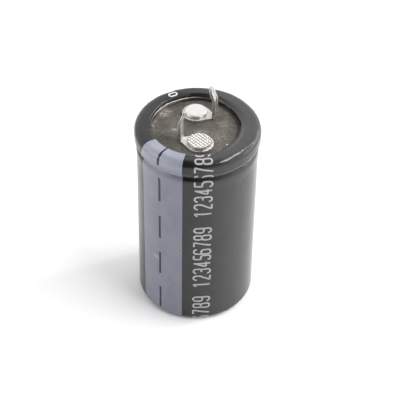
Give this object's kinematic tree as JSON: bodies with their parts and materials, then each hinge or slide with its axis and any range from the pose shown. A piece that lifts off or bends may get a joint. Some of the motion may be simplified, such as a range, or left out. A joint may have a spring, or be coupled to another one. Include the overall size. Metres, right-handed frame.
{
  "type": "electrolytic capacitor",
  "caption": "Cylindrical snap-in electrolytic capacitor in a dark shrink sleeve with a pale polarity stripe, a rubber-faced seal, rivets and bent snap-in pins.",
  "frame": {"origin": "centre of the closed end, on the surface that the part stands on", "axes": "+Z along the can's axis towards the pins; the pale stripe is on the side towards -X and -Y, and the smooth (positive) rivet is towards +Y"},
  "size_m": [0.026, 0.026, 0.0513],
  "materials": {
    "can": "satin drawn aluminium",
    "sleeve": "glossy shrunk film",
    "polarity_stripe": "printed ink under the film's gloss",
    "seal_rubber": "dusty matt",
    "terminal_board": "pressed laminate",
    "rivet_negative": "knurled head",
    "rivet_positive": "smooth head",
    "terminal_negative": "tin-plated",
    "terminal_positive": "tin-plated",
    "inner_washer_negative": "plain",
    "inner_washer_positive": "plain",
    "lead_tab_negative": "plain foil strip",
    "lead_tab_positive": "plain foil strip",
    "wound_element": "soaked paper with foil edges below it",
    "element_tape": "polyester tape"
  },
  "bodies": {
    "root": {"can": "can", "sleeve": "sleeve", "polarity_stripe": "polarity_stripe", "seal_rubber": "seal_rubber", "terminal_board": "terminal_board", "rivet_negative": "rivet_negative", "rivet_positive": "rivet_positive", "terminal_negative": "terminal_negative", "terminal_positive": "terminal_positive", "inner_washer_negative": "inner_washer_negative", "inner_washer_positive": "inner_washer_positive", "lead_tab_negative": "lead_tab_negative", "lead_tab_positive": "lead_tab_positive", "wound_element": "wound_element", "element_tape": "element_tape"}
  },
  "joints": []
}
